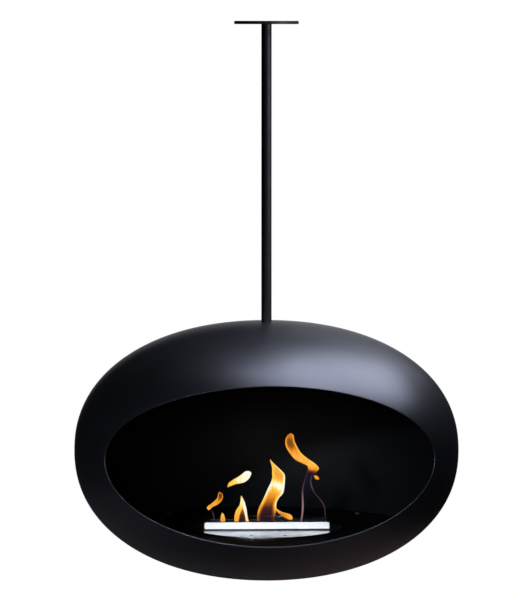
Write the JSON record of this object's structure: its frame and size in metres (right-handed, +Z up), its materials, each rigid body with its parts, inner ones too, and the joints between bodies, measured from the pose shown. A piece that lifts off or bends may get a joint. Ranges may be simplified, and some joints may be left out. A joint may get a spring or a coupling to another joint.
{
  "type": "hanging fireplace",
  "caption": "Hanging fireplace: an egg-shaped steel dome with an oval mouth that turns on a ceiling pole and holds a lift-out fuel burner with a sliding shutter.",
  "frame": {"origin": "centre of the ceiling plate's top face, which lies against the ceiling", "axes": "+Z up into the ceiling, along the pole and the dome's axis; the mouth faces -Y; +X is to the right seen from the front"},
  "size_m": [0.6, 0.5529, 0.867],
  "materials": {
    "dome_paint": "matt charcoal black",
    "pole_paint": "satin black",
    "floor_paint": "matt heat-proof black",
    "polished_stainless": "polished",
    "satin_stainless": "fine satin",
    "stainless": "brushed",
    "plain_steel": "zinc plated",
    "black_screws": "black oxide",
    "bronze": "turned",
    "ceramic_fibre": "soft white fibre"
  },
  "bodies": {
    "hanger": {"ceiling_plate": "pole_paint", "ceiling_socket": "pole_paint", "socket_grub_screw": "plain_steel", "socket_stud": "plain_steel", "pole_upper": "pole_paint", "pole_middle": "pole_paint", "pole_lower": "pole_paint", "pole_end_plugs": "plain_steel", "pole_studs": "plain_steel", "swivel_bolt": "plain_steel", "thrust_washer": "bronze"},
    "dome": {"upper_shell": "dome_paint", "lower_shell": "dome_paint", "hub_plate": "dome_paint", "hub_bush": "bronze", "floor_plate": "floor_paint", "floor_brackets": "floor_paint", "floor_screws": "black_screws", "floor_nuts": "plain_steel"},
    "burner": {"burner_tray": "polished_stainless", "burner_head": "satin_stainless", "fuel_tank": "stainless", "ceramic_wool": "ceramic_fibre", "shutter_rails": "stainless", "tray_screws": "black_screws", "tank_nuts": "plain_steel"},
    "shutter": {"flame_shutter": "stainless"}
  },
  "joints": [
    {"name": "dome_turn", "type": "hinge", "parent": "hanger", "child": "dome", "pos_m": [0, 0, -0.481], "axis": [0, 0, 1], "continuous": true},
    {"name": "burner_lift", "type": "slide", "parent": "dome", "child": "burner", "axis": [0, 0, 1], "range_m": [0, 0.066]},
    {"name": "shutter_close", "type": "slide", "parent": "burner", "child": "shutter", "axis": [0, -1, 0], "range_m": [0, 0.018]}
  ]
}
